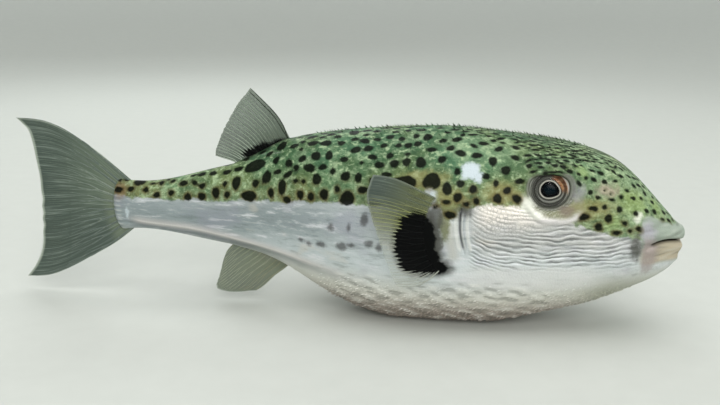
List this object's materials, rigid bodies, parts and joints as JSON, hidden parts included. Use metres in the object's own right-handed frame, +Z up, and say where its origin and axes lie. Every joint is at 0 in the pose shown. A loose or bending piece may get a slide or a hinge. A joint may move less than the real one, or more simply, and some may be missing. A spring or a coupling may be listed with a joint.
{
  "type": "spotted pufferfish",
  "caption": "Life-size silver-cheeked toadfish, a spotted pufferfish, as a still model lying on its belly with spread fins and a lunate tail.",
  "frame": {"origin": "centre of the small flat under the belly, on the floor", "axes": "+X towards the snout, +Y towards the fish's left side, +Z up towards the back"},
  "size_m": [0.4231, 0.1018, 0.1385],
  "materials": {
    "spotted_skin": "wet, satin, green above with black spots and silver below",
    "fin_membrane": "thin clear membrane over pale rays",
    "eye": "clear cornea over a dark pupil and grey iris"
  },
  "bodies": {
    "root": {"head": "spotted_skin", "lower_jaw": "spotted_skin", "trunk": "spotted_skin", "tail_stem": "spotted_skin", "dorsal_fin": "fin_membrane", "anal_fin": "fin_membrane", "tail_fin": "fin_membrane", "pectoral_fin_right": "fin_membrane", "pectoral_fin_left": "fin_membrane", "eye_right": "eye", "eye_left": "eye"}
  },
  "joints": []
}
